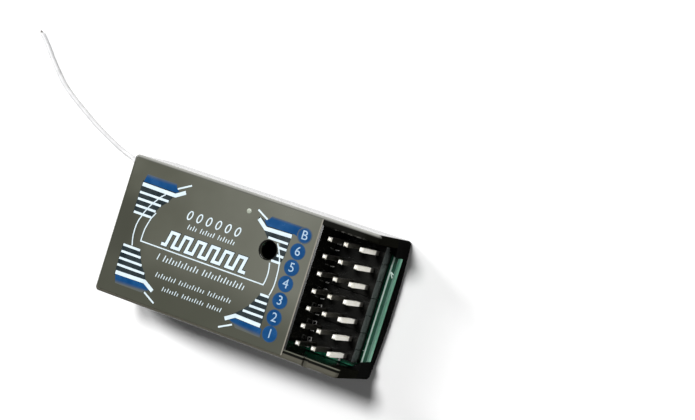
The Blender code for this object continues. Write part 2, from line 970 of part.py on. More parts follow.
def main():
    for old in list(bpy.data.objects):
        bpy.data.objects.remove(old, do_unlink=True)
    make_lower_shell()
    make_cover()
    make_label()
    make_board()
    make_header()
    make_pins()
    make_shield()
    radio_chip_size = (radio_chip_side, radio_chip_side, radio_chip_height)
    make_object("radio_chip", chip_body(shield_middle(), radio_chip_size, board_top), chip_resin())
    right, up = Vector((1, 0)), Vector((0, 1))
    make_leaded_chip(
        "processor", (antenna_end + processor_from_end, processor_across),
        (processor_side, processor_side, processor_height), (right, up, -right, -up),
        processor_leads_per_side, processor_lead_pitch, processor_lead_width, processor_lead_reach)
    make_leaded_chip(
        "voltage_regulator", (cover_edge - regulator_from_cover_edge, regulator_across),
        (regulator_length, regulator_width, regulator_height), (right, -right),
        regulator_leads_per_side, regulator_lead_pitch, regulator_lead_width, regulator_lead_reach)
    make_crystal()
    make_tantalum("input_capacitor", cover_edge - input_capacitor_from_cover_edge, tantalum_across)
    make_tantalum("output_capacitor", cover_edge - output_capacitor_from_cover_edge, tantalum_across)
    make_ceramic("led_resistor", sight_hole_x, led_resistor_across)
    decoupling_x = antenna_end + decoupling_from_end
    make_ceramic("decoupling_capacitor_1", decoupling_x, decoupling_across)
    make_ceramic("decoupling_capacitor_2", decoupling_x, decoupling_across + decoupling_spacing)
    make_status_light()
    make_solder_joint()
    make_antenna()


main()
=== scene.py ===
import json
import math

import bmesh
import bpy
from mathutils import Matrix, Vector


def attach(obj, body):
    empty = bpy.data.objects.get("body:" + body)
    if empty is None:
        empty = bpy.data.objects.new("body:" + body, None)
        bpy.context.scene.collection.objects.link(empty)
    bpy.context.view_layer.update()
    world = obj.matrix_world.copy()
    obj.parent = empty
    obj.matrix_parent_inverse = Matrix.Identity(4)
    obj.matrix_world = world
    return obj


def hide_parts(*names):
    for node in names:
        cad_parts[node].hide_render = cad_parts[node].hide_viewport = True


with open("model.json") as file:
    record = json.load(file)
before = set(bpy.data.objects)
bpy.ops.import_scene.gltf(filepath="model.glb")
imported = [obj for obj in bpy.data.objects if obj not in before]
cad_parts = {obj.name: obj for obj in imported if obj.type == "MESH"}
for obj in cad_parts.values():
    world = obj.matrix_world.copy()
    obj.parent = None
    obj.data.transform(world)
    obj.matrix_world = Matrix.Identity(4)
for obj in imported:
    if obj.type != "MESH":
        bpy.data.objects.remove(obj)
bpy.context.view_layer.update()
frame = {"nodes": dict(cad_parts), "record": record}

MM = 0.001

# Places in the part that the print and the finishes are laid out from
LABEL_TOP = 12.0 * MM
ANTENNA_END = -20.75 * MM
COVER_EDGE = 11.55 * MM
SIDE_WALL = 10.40 * MM
WALL = 1.35 * MM
SEAM = 5.0 * MM
BOARD_TOP = 3.3 * MM
BOARD_END = 20.35 * MM
HEADER_TOP = 5.84 * MM
WIRE_RADIUS = 0.35 * MM
CORE_RADIUS = 0.2 * MM


# Camera, fitted to the pins and the case in the photo

PHOTO_WIDTH = 695
FOCAL_PIXELS = 2025.77
SENSOR_WIDTH = 36.0
CAMERA_PLACE = (0.129588, 0.022658, 0.268808)

camera_data = bpy.data.cameras.new("photo_camera")
camera_data.sensor_width = SENSOR_WIDTH
camera_data.lens = FOCAL_PIXELS / PHOTO_WIDTH * SENSOR_WIDTH
camera_data.clip_start = 0.01
camera_data.clip_end = 20.0
camera = bpy.data.objects.new("photo_camera", camera_data)
bpy.context.scene.collection.objects.link(camera)
right = Vector((0.86588, 0.29971, -0.40054)).normalized()
back = Vector((0.40905, 0.03677, 0.91177)).normalized()
up = back.cross(right).normalized()
right = up.cross(back)
turn = Matrix((right, up, back)).transposed().to_4x4()
camera.matrix_world = Matrix.Translation(CAMERA_PLACE) @ turn
bpy.context.scene.camera = camera


# Selecting and finishing pieces

MERGE_WITHIN = 1e-7
ALMOST_ALONG = 0.99


def deselect():
    if bpy.context.mode != "OBJECT":
        bpy.ops.object.mode_set(mode="OBJECT")
    bpy.ops.object.select_all(action="DESELECT")


def choose(*pieces):
    deselect()
    for piece in pieces:
        piece.select_set(True)
    bpy.context.view_layer.objects.active = pieces[0]


def named(name, finish):
    """Give the active piece its name and finish, with its place in its mesh."""
    piece = bpy.context.object
    piece.name = name
    piece.data.name = name
    piece.data.materials.clear()
    piece.data.materials.append(finish)
    choose(piece)
    bpy.ops.object.transform_apply(location=True, rotation=True, scale=True)
    return piece


def closed_up(piece):
    """Merge doubled corners and point the faces outwards."""
    choose(piece)
    bpy.ops.object.mode_set(mode="EDIT")
    bpy.ops.mesh.select_all(action="SELECT")
    bpy.ops.mesh.remove_doubles(threshold=MERGE_WITHIN)
    bpy.ops.mesh.normals_make_consistent(inside=False)
    bpy.ops.object.mode_set(mode="OBJECT")
    return piece


def select_facing(direction):
    """In edit mode, select only the faces that look in a direction."""
    bpy.ops.mesh.select_mode(type="FACE")
    bpy.ops.mesh.select_all(action="DESELECT")
    mesh = bmesh.from_edit_mesh(bpy.context.object.data)
    for face in mesh.faces:
        if face.normal.dot(direction) > ALMOST_ALONG:
            face.select_set(True)
    bmesh.update_edit_mesh(bpy.context.object.data)


def merged(name, parts, finish):
    """Join several pieces into one."""
    choose(*parts)
    bpy.ops.object.join()
    return named(name, finish)


def riding(piece):
    """Put a finished piece on the part's one body."""
    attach(piece, "root")
    return piece


# Shader groups and finishes


def group_socket(group, name, direction, kind, value=None):
    socket = group.interface.new_socket(name=name, in_out=direction, socket_type=kind)
    if value is not None:
        socket.default_value = value
    return socket


def build_grain_group():
    """Fine moulded grain: a height for a bump and a slow cloudy mask."""
    group = bpy.data.node_groups.new("moulded_grain", "ShaderNodeTree")
    group_socket(group, "Grain Scale", "INPUT", "NodeSocketFloat", 9000.0)
    group_socket(group, "Cloud Scale", "INPUT", "NodeSocketFloat", 120.0)
    group_socket(group, "Height", "OUTPUT", "NodeSocketFloat")
    group_socket(group, "Clouds", "OUTPUT", "NodeSocketFloat")
    nodes, links = group.nodes, group.links
    entry = nodes.new("NodeGroupInput")
    leave = nodes.new("NodeGroupOutput")
    place = nodes.new("ShaderNodeTexCoord")
    grain = nodes.new("ShaderNodeTexNoise")
    grain.inputs["Detail"].default_value = 3.0
    clouds = nodes.new("ShaderNodeTexNoise")
    clouds.inputs["Detail"].default_value = 4.0
    spread = nodes.new("ShaderNodeMapRange")
    spread.inputs["From Min"].default_value = 0.35
    spread.inputs["From Max"].default_value = 0.65
    links.new(place.outputs["Object"], grain.inputs["Vector"])
    links.new(place.outputs["Object"], clouds.inputs["Vector"])
    links.new(entry.outputs["Grain Scale"], grain.inputs["Scale"])
    links.new(entry.outputs["Cloud Scale"], clouds.inputs["Scale"])
    links.new(clouds.outputs["Fac"], spread.inputs["Value"])
    links.new(grain.outputs["Fac"], leave.inputs["Height"])
    links.new(spread.outputs["Result"], leave.inputs["Clouds"])
    return group


def build_scuff_group():
    """Hair scratches that run mostly along the case, as a mask."""
    group = bpy.data.node_groups.new("hair_scratches", "ShaderNodeTree")
    group_socket(group, "Scale", "INPUT", "NodeSocketFloat", 900.0)
    group_socket(group, "Amount", "INPUT", "NodeSocketFloat", 0.1)
    group_socket(group, "Mask", "OUTPUT", "NodeSocketFloat")
    nodes, links = group.nodes, group.links
    entry = nodes.new("NodeGroupInput")
    leave = nodes.new("NodeGroupOutput")
    place = nodes.new("ShaderNodeTexCoord")
    lay = nodes.new("ShaderNodeMapping")
    lay.inputs["Rotation"].default_value = (0.0, 0.0, 0.5)
    lay.inputs["Scale"].default_value = (0.04, 1.0, 1.0)
    streaks = nodes.new("ShaderNodeTexNoise")
    streaks.inputs["Detail"].default_value = 2.0
    where = nodes.new("ShaderNodeTexNoise")
    where.inputs["Scale"].default_value = 180.0
    cut = nodes.new("ShaderNodeMapRange")
    cut.inputs["From Min"].default_value = 0.66
    cut.inputs["From Max"].default_value = 0.74
    patch = nodes.new("ShaderNodeMapRange")
    patch.inputs["From Min"].default_value = 0.5
    patch.inputs["From Max"].default_value = 0.7
    both = nodes.new("ShaderNodeMath")
    both.operation = "MULTIPLY"
    weak = nodes.new("ShaderNodeMath")
    weak.operation = "MULTIPLY"
    links.new(place.outputs["Object"], lay.inputs["Vector"])
    links.new(lay.outputs["Vector"], streaks.inputs["Vector"])
    links.new(place.outputs["Object"], where.inputs["Vector"])
    links.new(entry.outputs["Scale"], streaks.inputs["Scale"])
    links.new(streaks.outputs["Fac"], cut.inputs["Value"])
    links.new(where.outputs["Fac"], patch.inputs["Value"])
    links.new(cut.outputs["Result"], both.inputs[0])
    links.new(patch.outputs["Result"], both.inputs[1])
    links.new(both.outputs[0], weak.inputs[0])
    links.new(entry.outputs["Amount"], weak.inputs[1])
    links.new(weak.outputs[0], leave.inputs["Mask"])
    return group


moulded_grain = build_grain_group()
hair_scratches = build_scuff_group()

ROUGHNESS_DRIFT = 0.15
GRAIN_DEPTH = 0.02 * MM


class Finish:
    """A Principled finish with grain, cloudy colour, faint scratches and softly rounded edges."""

    def __init__(self, name, dark, pale, roughness, metallic=0.0, grain=9000.0, cloud=120.0, bump=0.05,
                 scratches=0.08, gloss=0.5, soft_edge=0.1):
        self.material = bpy.data.materials.new(name)
        self.material.use_nodes = True
        self.nodes = self.material.node_tree.nodes
        self.links = self.material.node_tree.links
        self.shader = self.nodes["Principled BSDF"]
        self.shader.inputs["Metallic"].default_value = metallic
        self.shader.inputs["Specular IOR Level"].default_value = gloss
        self.grain = self.nodes.new("ShaderNodeGroup")
        self.grain.node_tree = moulded_grain
        self.grain.inputs["Grain Scale"].default_value = grain
        self.grain.inputs["Cloud Scale"].default_value = cloud
        self.scratch = self.nodes.new("ShaderNodeGroup")
        self.scratch.node_tree = hair_scratches
        self.scratch.inputs["Amount"].default_value = scratches
        colour = self.nodes.new("ShaderNodeMix")
        colour.data_type = "RGBA"
        colour.inputs["A"].default_value = (*dark, 1.0)
        colour.inputs["B"].default_value = (*pale, 1.0)
        self.links.new(self.grain.outputs["Clouds"], colour.inputs["Factor"])
        self.colour = colour.outputs["Result"]
        self.links.new(self.colour, self.shader.inputs["Base Color"])
        rough = self.nodes.new("ShaderNodeMapRange")
        rough.inputs["To Min"].default_value = roughness * (1 - ROUGHNESS_DRIFT)
        rough.inputs["To Max"].default_value = roughness * (1 + ROUGHNESS_DRIFT)
        self.links.new(self.grain.outputs["Clouds"], rough.inputs["Value"])
        duller = self.combined("ADD", rough.outputs["Result"], self.scratch.outputs["Mask"])
        self.links.new(duller, self.shader.inputs["Roughness"])
        relief = self.nodes.new("ShaderNodeBump")
        relief.inputs["Strength"].default_value = bump
        relief.inputs["Distance"].default_value = GRAIN_DEPTH
        self.links.new(self.grain.outputs["Height"], relief.inputs["Height"])
        if soft_edge:
            rounding = self.nodes.new("ShaderNodeBevel")
            rounding.samples = 6
            rounding.inputs["Radius"].default_value = soft_edge * MM
            self.links.new(rounding.outputs["Normal"], relief.inputs["Normal"])
        self.links.new(relief.outputs["Normal"], self.shader.inputs["Normal"])

    def lacquer(self, mask, roughness):
        """A glossy skin whose weight follows a mask."""
        self.shader.inputs["Coat Roughness"].default_value = roughness
        self.links.new(mask, self.shader.inputs["Coat Weight"])

    def paint(self, mask, tint):
        """Lay another colour over the colour so far, where the mask is 1."""
        mix = self.nodes.new("ShaderNodeMix")
        mix.data_type = "RGBA"
        self.links.new(mask, mix.inputs["Factor"])
        self.links.new(self.colour, mix.inputs["A"])
        mix.inputs["B"].default_value = (*tint, 1.0)
        self.colour = mix.outputs["Result"]
        self.links.new(self.colour, self.shader.inputs["Base Color"])

    def axis(self, name):
        """The place of a point along X, Y or Z, in metres."""
        place = self.nodes.new("ShaderNodeTexCoord")
        split = self.nodes.new("ShaderNodeSeparateXYZ")
        self.links.new(place.outputs["Object"], split.inputs["Vector"])
        return split.outputs[name]

    def attribute(self, name):
        """A value stored on the corners of a piece."""
        stored = self.nodes.new("ShaderNodeAttribute")
        stored.attribute_name = name
        return stored.outputs["Fac"]

    def ramp(self, value, start, end):
        """0 at the start, 1 at the end, smooth between."""
        ramp = self.nodes.new("ShaderNodeMapRange")
        ramp.interpolation_type = "SMOOTHSTEP"
        ramp.inputs["From Min"].default_value = start
        ramp.inputs["From Max"].default_value = end
        self.links.new(value, ramp.inputs["Value"])
        return ramp.outputs["Result"]

    def between(self, value, low, high, soft):
        """1 between two edges, blurred over a soft width."""
        above_low = self.ramp(value, low - soft, low + soft)
        below_high = self.ramp(value, high + soft, high - soft)
        return self.both(above_low, below_high)

    def shade(self, value, start, end, most):
        """An even slope from 0 at the start to the most at the end."""
        slope = self.nodes.new("ShaderNodeMapRange")
        slope.inputs["From Min"].default_value = start
        slope.inputs["From Max"].default_value = end
        slope.inputs["To Max"].default_value = most
        self.links.new(value, slope.inputs["Value"])
        return slope.outputs["Result"]

    def outside(self, value, low, high, soft):
        """1 below one edge and above another."""
        below_low = self.ramp(value, low + soft, low - soft)
        above_high = self.ramp(value, high - soft, high + soft)
        return self.either(below_low, above_high)

    def combined(self, operation, first, second):
        """Two values joined by a Math node's operation."""
        joint = self.nodes.new("ShaderNodeMath")
        joint.operation = operation
        self.links.new(first, joint.inputs[0])
        self.links.new(second, joint.inputs[1])
        return joint.outputs[0]

    def either(self, first, second):
        """1 where one of the masks is 1."""
        return self.combined("MAXIMUM", first, second)

    def both(self, first, second):
        """1 where both masks are 1."""
        return self.combined("MULTIPLY", first, second)


COAT_ROUGHNESS = 0.14

# What the finishes of thin print and of small pieces share
PRINT = {"grain": 20000.0, "bump": 0.02, "soft_edge": 0.0}
SMALL = {"cloud": 900.0, "soft_edge": 0.0}

LABEL_DARK = (0.070, 0.072, 0.054)
LABEL_PALE = (0.104, 0.107, 0.084)

cover_plastic = Finish(
    "cover_plastic", (0.004, 0.004, 0.003), (0.008, 0.008, 0.006), 0.2, bump=0.04, gloss=0.0)
shell_plastic = Finish(
    "shell_plastic", (0.003, 0.003, 0.003), (0.006, 0.006, 0.006), 0.22, bump=0.05, gloss=0.0)
label_film = Finish(
    "label_film", LABEL_DARK, LABEL_PALE, 0.24, grain=16000.0, cloud=60.0, bump=0.03, soft_edge=0.04)
board_laminate = Finish("board_laminate", (0.004, 0.085, 0.045), (0.010, 0.14, 0.07), 0.25)
header_plastic = Finish(
    "header_plastic", (0.003, 0.003, 0.003), (0.006, 0.006, 0.005), 0.2, bump=0.03, gloss=0.2)
pin_plating = Finish(
    "pin_plating", (0.96, 0.93, 0.82), (0.99, 0.97, 0.90), 0.5, metallic=0.15, cloud=900.0, soft_edge=0.06)
# A darker copy of the plating for the inner pins: painted shade, where the outer column shades them.
pin_shaded = Finish(
    "pin_plating_shaded", (0.88, 0.85, 0.74), (0.95, 0.93, 0.86), 0.4, metallic=0.75, cloud=900.0,
    soft_edge=0.06)
shield_tin = Finish("shield_tin", (0.6, 0.6, 0.59), (0.7, 0.7, 0.69), 0.3, metallic=1.0, cloud=300.0)
chip_resin = Finish("chip_resin", (0.016, 0.016, 0.017), (0.024, 0.024, 0.025), 0.55, bump=0.2)
tantalum_resin = Finish("tantalum_resin", (0.48, 0.24, 0.03), (0.6, 0.32, 0.05), 0.5)
chip_ceramic = Finish("chip_ceramic", (0.4, 0.31, 0.22), (0.5, 0.4, 0.3), 0.45)
led_lens = Finish("led_lens", (0.6, 0.06, 0.04), (0.7, 0.1, 0.06), 0.15)
solder = Finish("solder", (0.6, 0.6, 0.6), (0.7, 0.7, 0.7), 0.28, metallic=1.0)
wire_insulation = Finish(
    "wire_insulation", (0.58, 0.58, 0.585), (0.64, 0.64, 0.645), 0.3, cloud=700.0, soft_edge=0.0)
white_ink = Finish("white_ink", (0.57, 0.67, 0.72), (0.65, 0.76, 0.81), 0.3, cloud=900.0, **PRINT)
blue_ink = Finish(
    "blue_ink", (0.002, 0.045, 0.150), (0.003, 0.058, 0.18), 0.24, cloud=700.0, gloss=0.35, **PRINT)
navy_ink = Finish("navy_ink", (0.010, 0.018, 0.022), (0.018, 0.028, 0.032), 0.24, cloud=700.0, **PRINT)
number_ink = Finish("number_ink", (0.28, 0.41, 0.54), (0.37, 0.50, 0.63), 0.4, cloud=900.0, **PRINT)
pip_plastic = Finish("pip_plastic", (0.30, 0.33, 0.27), (0.36, 0.39, 0.33), 0.35, **SMALL)
# Black for the painted shade round the sight hole.
painted_hole_shade = Finish("painted_hole_shade", (0.002, 0.002, 0.002), (0.004, 0.004, 0.004), 0.3, gloss=0.2, **SMALL)
mark_ink = Finish("mark_ink", (0.45, 0.45, 0.43), (0.62, 0.62, 0.60), 0.4, **SMALL)
silk_ink = Finish("silk_ink", (0.62, 0.80, 0.72), (0.72, 0.88, 0.80), 0.45, grain=20000.0, **SMALL)
tinned_core = Finish("tinned_core", (0.12, 0.11, 0.10), (0.24, 0.23, 0.22), 0.35, metallic=1.0, cloud=2000.0)


def coat_and_painted_light(plastic):
    """The case's gloss, and painted highlights and painted shade along its top, by place."""
    # The gloss leaves out the open end's inside and the seam.
    away_from_end = plastic.ramp(plastic.axis("X"), 18.6 * MM, 17.4 * MM)
    side_walls = plastic.outside(plastic.axis("Y"), -SIDE_WALL, SIDE_WALL, 0.02 * MM)
    off_seam = plastic.outside(plastic.axis("Z"), SEAM - 0.1 * MM, SEAM + 0.1 * MM, 0.03 * MM)
    plastic.lacquer(plastic.both(plastic.either(away_from_end, side_walls), off_seam), COAT_ROUGHNESS)

    # Painted highlight: the top roundings are painted the film's pale colour beside the print and along the
    # near wall, for the light they reflect.
    rounding_highlight = plastic.between(plastic.axis("Z"), 11.48 * MM, 11.885 * MM, 0.01 * MM)
    near_bay = plastic.ramp(plastic.axis("Y"), -9.02 * MM, -9.06 * MM)
    over_print = plastic.ramp(plastic.axis("X"), COVER_EDGE - 0.15 * MM, COVER_EDGE - 0.25 * MM)
    plastic.paint(plastic.both(rounding_highlight, plastic.either(over_print, near_bay)), LABEL_PALE)

    # Painted reflection: the far wall's top is painted pale on its outer half, and a softer grey beside the
    # print, for the bright light it reflects.
    far_edge = plastic.ramp(plastic.axis("Y"), 9.9 * MM, 10.3 * MM)
    far_reflection = plastic.both(far_edge, plastic.ramp(plastic.axis("Z"), 11.1 * MM, 11.5 * MM))
    plastic.paint(far_reflection, (0.27, 0.27, 0.25))
    far_ring = plastic.ramp(plastic.axis("Y"), 9.1 * MM, 9.3 * MM)
    beside_film = plastic.both(far_ring, plastic.ramp(plastic.axis("Z"), 11.5 * MM, 11.6 * MM))
    inner_half = plastic.ramp(plastic.axis("Y"), 10.2 * MM, 9.9 * MM)
    far_sheen = plastic.both(over_print, plastic.both(beside_film, inner_half))
    plastic.paint(far_sheen, (0.095, 0.097, 0.083))

    # Painted reflection and shade: the near wall's top is painted brown at its rim, where it reflects light,
    # with a painted dark shade line inside it past the print.
    near_rim = plastic.ramp(plastic.axis("Y"), -9.55 * MM, -9.65 * MM)
    top_only = plastic.ramp(plastic.axis("Z"), 11.46 * MM, 11.50 * MM)
    plastic.paint(plastic.both(near_rim, top_only), (0.085, 0.081, 0.064))
    past_print = plastic.ramp(plastic.axis("X"), COVER_EDGE - 0.1 * MM, COVER_EDGE + 0.1 * MM)
    shade_line = plastic.between(plastic.axis("Y"), -9.58 * MM, -9.24 * MM, 0.03 * MM)
    plastic.paint(plastic.both(plastic.both(past_print, shade_line), top_only), (0.005, 0.005, 0.004))


coat_and_painted_light(cover_plastic)
coat_and_painted_light(shell_plastic)

# Painted shade: the inner pins are darkened below their tips, where the outer column shades them, and the
# outer ones near the header.
pin_shaded.paint(pin_shaded.ramp(pin_shaded.axis("Z"), 11.4 * MM, 11.25 * MM), (0.10, 0.095, 0.08))
pin_plating.paint(pin_plating.ramp(pin_plating.axis("Z"), 7.2 * MM, 6.8 * MM), (0.05, 0.047, 0.04))

# Painted light and shade: the film is paler towards the bay, and darker along the near side and at the
# antenna end.
lit_towards_bay = label_film.shade(label_film.axis("X"), -18.0 * MM, 16.0 * MM, 0.75)
label_film.paint(lit_towards_bay, (0.140, 0.143, 0.118))
shaded_near_side = label_film.shade(label_film.axis("Y"), -1.0 * MM, -7.0 * MM, 0.8)
label_film.paint(shaded_near_side, (0.050, 0.052, 0.038))
shaded_antenna_end = label_film.both(
    label_film.ramp(label_film.axis("X"), -14.0 * MM, -18.5 * MM),
    label_film.between(label_film.axis("Y"), -5.0 * MM, 4.5 * MM, 1.8 * MM))
label_film.paint(shaded_antenna_end, (0.050, 0.052, 0.039))

# Its cut edge shows pale along the bay, and the blue fields fade out into it.
cut_edge = label_film.ramp(label_film.axis("X"), COVER_EDGE - 0.42 * MM, COVER_EDGE - 0.26 * MM)
label_film.paint(cut_edge, (0.28, 0.26, 0.22))
blue_ink.paint(blue_ink.ramp(blue_ink.attribute("fade"), 0.45, 1.15), LABEL_PALE)

# Painted light: the header's end face is painted paler grey towards its top, where light falls on it.
header_end = header_plastic.ramp(header_plastic.axis("X"), 19.12 * MM, 19.2 * MM)
lit_top = header_plastic.ramp(header_plastic.axis("Z"), BOARD_TOP + 0.2 * MM, BOARD_TOP + 2.2 * MM)
header_plastic.paint(header_plastic.both(header_end, lit_top), (0.055, 0.063, 0.060))

# Painted light: the board is painted greener and brighter along the near side, and it is darker past the
# header. Its sawn end is painted paler towards its foot, as the glow of light through its edge.
foot = board_laminate.ramp(board_laminate.axis("Z"), BOARD_TOP - 0.3 * MM, BOARD_TOP - 1.5 * MM)
sawn = board_laminate.ramp(board_laminate.axis("X"), BOARD_END - 0.03 * MM, BOARD_END - 0.01 * MM)
lit_near_strip = board_laminate.ramp(board_laminate.axis("Y"), -8.1 * MM, -8.3 * MM)
board_laminate.paint(lit_near_strip, (0.02, 0.30, 0.15))
bare_strip = board_laminate.ramp(board_laminate.axis("X"), BOARD_END - 0.5 * MM, BOARD_END - 0.4 * MM)
board_laminate.paint(bare_strip, (0.001, 0.050, 0.026))
board_laminate.paint(sawn, (0.008, 0.155, 0.088))
board_laminate.paint(board_laminate.both(foot, sawn), (0.30, 0.66, 0.48))

# Each record slot's finish
by_slot = {
    "cover_plastic": cover_plastic,
    "shell_plastic": shell_plastic,
    "label_film": label_film,
    "board_laminate": board_laminate,
    "header_plastic": header_plastic,
    "pin_plating": pin_plating,
    "shield_tin": shield_tin,
    "chip_resin": chip_resin,
    "tantalum_resin": tantalum_resin,
    "chip_ceramic": chip_ceramic,
    "led_lens": led_lens,
    "solder": solder,
    "wire_insulation": wire_insulation,
}
for part in frame["record"]["subparts"]:
    node = frame["nodes"][part["node"]]
    finish = by_slot[part["material_slot"]].material
    # Painted shade: the signal and positive pins take the darker, shaded copy of the plating.
    if part["node"].startswith("pin_") and not part["node"].endswith("_negative"):
        finish = pin_shaded.material
    if len(node.material_slots) == 0:
        node.data.materials.append(finish)
    for slot in node.material_slots:
        slot.material = finish


# Antenna wire

POINTS_PER_SPAN = 40
CORD_SPACING = 1.0 * MM


def antenna_route():
    """The points that the wire was laid through, the same as in the part's source."""
    resting = WIRE_RADIUS + 0.02 * MM
    exit_y = 7.19 * MM
    height = 3.95 * MM
    inner_length = 1.2 * MM
    points = [
        Vector((ANTENNA_END + WALL + inner_length, exit_y, height)),
        Vector((ANTENNA_END + WALL, exit_y, height)),
        Vector((ANTENNA_END - WIRE_RADIUS, exit_y, height)),
    ]
    # Each bend is how far out, how far across and how high, in millimetres; None lies on the floor.
    bends = [
        (1.20, 0.10, 3.82),
        (2.60, 0.42, 3.30),
        (4.10, 0.90, 2.45),
        (5.50, 1.42, 1.60),
        (6.72, 1.90, 1.00),
        (7.97, 2.16, 0.62),
        (9.12, 2.46, 0.44),
        (11.38, 3.30, None),
        (14.56, 4.70, None),
        (17.44, 6.20, None),
        (20.38, 7.86, None),
        (22.69, 9.37, None),
        (25.65, 12.08, None),
        (27.62, 14.22, None),
        (29.33, 15.85, None),
    ]
    for out, across, rise in bends:
        z = resting if rise is None else rise * MM
        points.append(Vector((ANTENNA_END - out * MM, exit_y + across * MM, z)))
    return points


def smooth_curve(route):
    """Fine points along a smooth curve that passes through every point of a route."""
    points = []
    for i in range(len(route) - 1):
        before = route[max(i - 1, 0)]
        start, end = route[i], route[i + 1]
        after = route[min(i + 2, len(route) - 1)]
        for step in range(POINTS_PER_SPAN):
            t = step / POINTS_PER_SPAN
            points.append(0.5 * (
                2 * start
                + (end - before) * t
                + (2 * before - 5 * start + 4 * end - after) * t ** 2
                + (3 * start - before - 3 * end + after) * t ** 3
            ))
    points.append(route[-1])
    return points


def spaced(points, spacing):
    """The points that stand at least a spacing apart, with the last one kept."""
    kept = [points[0]]
    for point in points[1:]:
        if (point - kept[-1]).length >= spacing:
            kept.append(point)
    if (points[-1] - kept[-1]).length < spacing / 2:
        kept.pop()
    kept.append(points[-1])
    return kept


def make_core_tip(tip, onward):
    """The bare core that stands out of the sleeve: a snipped stub, stepped where the sleeve was ringed."""
    deselect()
    bpy.ops.mesh.primitive_cylinder_add(vertices=16, radius=CORE_RADIUS, depth=0.5 * MM)
    bpy.ops.object.mode_set(mode="EDIT")
    select_facing(Vector((0, 0, 1)))
    for push, size in ((0.0, 0.7), (0.10, 1.0), (0.12, 0.55)):
        bpy.ops.mesh.extrude_region_move(TRANSFORM_OT_translate={"value": (0, 0, push * MM)})
        bpy.ops.transform.resize(value=(size, size, 1))
    bpy.ops.object.mode_set(mode="OBJECT")
    core = bpy.context.object
    core.location = tip + onward * 0.1 * MM
    core.rotation_euler = Vector((0, 0, 1)).rotation_difference(onward).to_euler()
    return named("antenna_core_tip", tinned_core.material)


def make_antenna():
    deselect()
    points = spaced(smooth_curve(antenna_route()), CORD_SPACING)
    curve = bpy.data.curves.new("antenna_sleeve", "CURVE")
    curve.dimensions = "3D"
    curve.bevel_depth = WIRE_RADIUS
    curve.bevel_resolution = 5
    curve.use_fill_caps = True
    spline = curve.splines.new("POLY")
    spline.points.add(len(points) - 1)
    for target, point in zip(spline.points, points):
        target.co = (*point, 1)
    sleeve = bpy.data.objects.new("antenna_sleeve", curve)
    bpy.context.scene.collection.objects.link(sleeve)
    curve.materials.append(wire_insulation.material)
    tip, before = points[-1], points[-2]
    onward = (tip - before).normalized()
    core = make_core_tip(tip, onward)
    riding(sleeve)
    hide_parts("antenna_wire")
    riding(core)


make_antenna()


# Label print; its places and widths are in millimetres

DARK_RISE, BLUE_RISE, WHITE_RISE, FRAME_RISE, RING_RISE = 0.010, 0.014, 0.020, 0.026, 0.032
SUNK = 0.03


def printed(name, outlines, ink, rise, level=LABEL_TOP):
    """Flat shapes of ink that start just under a level and stand a hair proud of it.

    Each outline is a list of (x, y) points, or a list of such rings where the shape has a hole.
    """
    parts = []
    for outline in outlines:
        deselect()
        curve = bpy.data.curves.new(name, "CURVE")
        curve.dimensions = "2D"
        curve.fill_mode = "BOTH"
        curve.extrude = (rise + SUNK) / 2 * MM
        rings = outline if isinstance(outline[0][0], (tuple, list)) else [outline]
        for ring in rings:
            spline = curve.splines.new("POLY")
            spline.points.add(len(ring) - 1)
            for target, (x, y) in zip(spline.points, ring):
                target.co = (x * MM, y * MM, 0, 1)
            spline.use_cyclic_u = True
        shape = bpy.data.objects.new(name, curve)
        bpy.context.scene.collection.objects.link(shape)
        shape.location.z = level + (rise - SUNK) / 2 * MM
        choose(shape)
        bpy.ops.object.convert(target="MESH")
        parts.append(bpy.context.object)
    piece = merged(name, parts, ink.material)
    closed_up(piece)
    return riding(piece)


def stroke(points, width):
    """The outline of a line of even width through points, with mitred bends and square ends."""
    points = [Vector(p) for p in points]
    left, right = [], []
    for i, point in enumerate(points):
        before = points[max(i - 1, 0)]
        after = points[min(i + 1, len(points) - 1)]
        enter = (point - before).normalized() if i else (after - point).normalized()
        go = (after - point).normalized() if i < len(points) - 1 else enter
        side = Vector((-enter.y - go.y, enter.x + go.x)).normalized()
        reach = width / 2 / max(0.4, side.dot(Vector((-go.y, go.x))))
        left.append(point + side * reach)
        right.append(point - side * reach)
    return [tuple(p) for p in left + right[::-1]]


def bar(x0, x1, y, width):
    return stroke([(x0, y), (x1, y)], width)


def ring_arc(centre, radii, start, end, steps):
    """Points along an arc of an ellipse, between two angles in degrees."""
    points = []
    for step in range(steps + 1):
        angle = math.radians(start + (end - start) * step / steps)
        points.append((centre[0] + radii[0] * math.cos(angle), centre[1] + radii[1] * math.sin(angle)))
    return points


THICK, THIN, STRIPE, FRAME = 0.56, 0.24, 0.34, 0.17
white, blue, navy = [], [], []

# Corner at the antenna end, far side
white.append(stroke([(-18.05, 6.5), (-12.3, 6.42), (-10.8, 7.3)], THICK))
white.append(stroke([(-12.25, 7.44), (-10.19, 8.54)], THIN))
for y, end in ((5.28, -13.1), (4.3, -14.1), (3.28, -14.65), (2.27, -15.05)):
    white.append(bar(-18.1, end, y, STRIPE))
blue.append([(-18.0, 6.9), (-12.35, 6.85), (-11.9, 7.15), (-12.45, 7.55), (-12.6, 8.1), (-17.7, 8.1)])
navy.append([(-18.15, 7.05), (-18.2, 2.15), (-15.1, 2.15), (-14.7, 3.2), (-14.15, 4.2), (-13.1, 5.2),
             (-12.6, 6.1), (-11.0, 6.95), (-10.9, 7.2), (-11.6, 7.25), (-12.2, 7.0)])

